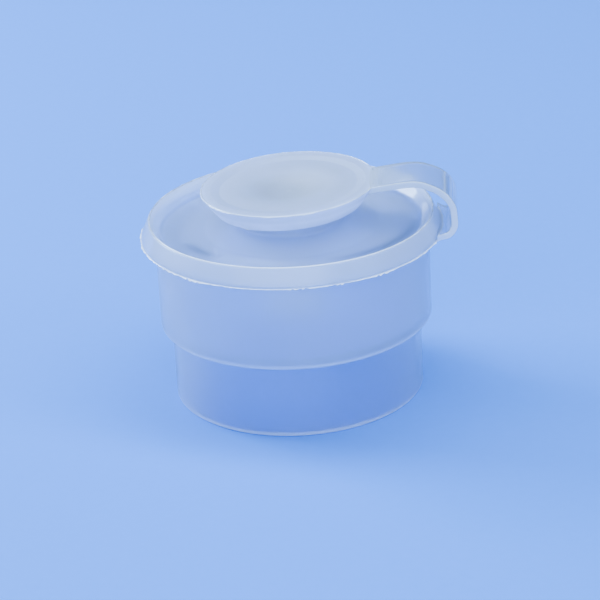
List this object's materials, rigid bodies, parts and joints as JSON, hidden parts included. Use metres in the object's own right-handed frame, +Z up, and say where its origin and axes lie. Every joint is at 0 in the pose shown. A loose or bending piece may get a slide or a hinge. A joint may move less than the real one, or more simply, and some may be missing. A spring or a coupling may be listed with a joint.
{
  "type": "pour spout closure",
  "caption": "Stepped push-in pour spout of milky plastic: hollow barrels, bevelled flange, dished deck, pour tube, and a disc lid with a plug on a bending strap.",
  "frame": {"origin": "centre of the bottom rim of the lower barrel, where the part stands", "axes": "+Z up along the axis of the barrels, out of the bottle; +X towards the strap"},
  "size_m": [0.0332, 0.032, 0.0238],
  "materials": {
    "barrel_plastic": "milky translucent polyethylene, smooth",
    "deck_plastic": "milky translucent polyethylene, glossy",
    "strap_plastic": "milky translucent polyethylene, drawn along the strap",
    "lid_plastic": "milky translucent polyethylene, fine frosted"
  },
  "bodies": {
    "closure": {"lower_barrel": "barrel_plastic", "step_shoulder": "barrel_plastic", "upper_barrel": "barrel_plastic", "flange_ring": "deck_plastic", "rim_lip": "deck_plastic", "dished_deck": "deck_plastic", "pour_collar": "deck_plastic", "funnel_seat": "barrel_plastic", "drop_tube": "barrel_plastic", "strap_root_tab": "strap_plastic"},
    "strap_section": {"strap_link": "strap_plastic"},
    "lid": {"lid_strap_tab": "strap_plastic", "lid_plate": "lid_plastic", "lid_skirt": "lid_plastic", "lid_plug": "lid_plastic", "plug_seal_bead": "lid_plastic"}
  },
  "joints": [
    {"name": "strap_bend_1", "type": "hinge", "parent": "closure", "child": "strap_section", "pos_m": [0.0169, 0, 0.01805], "axis": [0, 1, 0], "range_deg": [0, 97.05]},
    {"name": "strap_bend_2", "type": "hinge", "parent": "strap_section", "child": "lid", "pos_m": [0.0163, 0, 0.0229], "axis": [0, 1, 0], "range_deg": [0, 85.35]}
  ],
  "couplings": [
    {"joint": "strap_bend_2", "follows": "strap_bend_1", "ratio": 0.8794}
  ]
}
